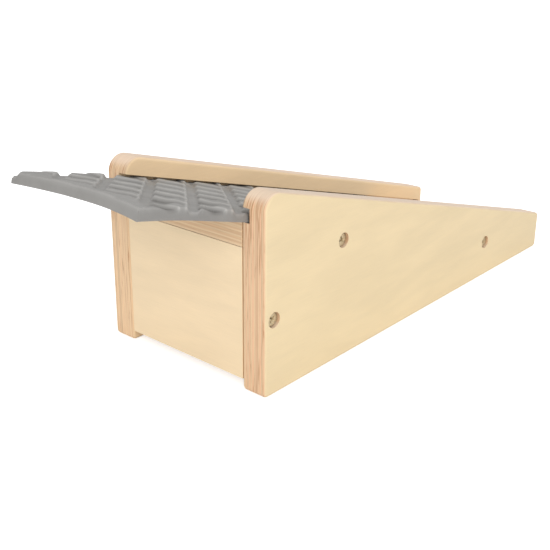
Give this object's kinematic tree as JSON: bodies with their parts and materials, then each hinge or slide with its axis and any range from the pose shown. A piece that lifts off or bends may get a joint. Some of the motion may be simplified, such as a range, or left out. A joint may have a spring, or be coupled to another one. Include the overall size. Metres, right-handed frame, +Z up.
{
  "type": "slant board",
  "caption": "Plywood wedge for one foot: side panels with routed grooves, an end panel and a sloping deck, and a rubber relief mat that slides out of the grooves.",
  "frame": {"origin": "on the floor, on the middle plane, halfway along the board with its mat drawn out as at rest", "axes": "+X downhill along the floor from the high end to the low end, +Y to the right-hand side panel, +Z up"},
  "size_m": [0.4389, 0.137, 0.1374],
  "materials": {
    "plywood_side": "satin clear varnish on birch plywood",
    "plywood_inner": "satin clear varnish on birch plywood",
    "mat_rubber": "matt moulded rubber",
    "screw_steel": "yellow zinc plate, dulled"
  },
  "bodies": {
    "frame": {"side_panel_left": "plywood_side", "side_panel_right": "plywood_side", "end_panel": "plywood_inner", "deck_board": "plywood_inner", "screw_left_end_panel": "screw_steel", "screw_left_deck_high": "screw_steel", "screw_left_deck_low": "screw_steel", "screw_right_end_panel": "screw_steel", "screw_right_deck_high": "screw_steel", "screw_right_deck_low": "screw_steel"},
    "mat": {"relief_mat": "mat_rubber"}
  },
  "joints": [
    {"name": "mat_slide", "type": "slide", "parent": "frame", "child": "mat", "axis": [-0.9642, 0, 0.2652], "range_m": [-0.0818, 0.24]}
  ]
}
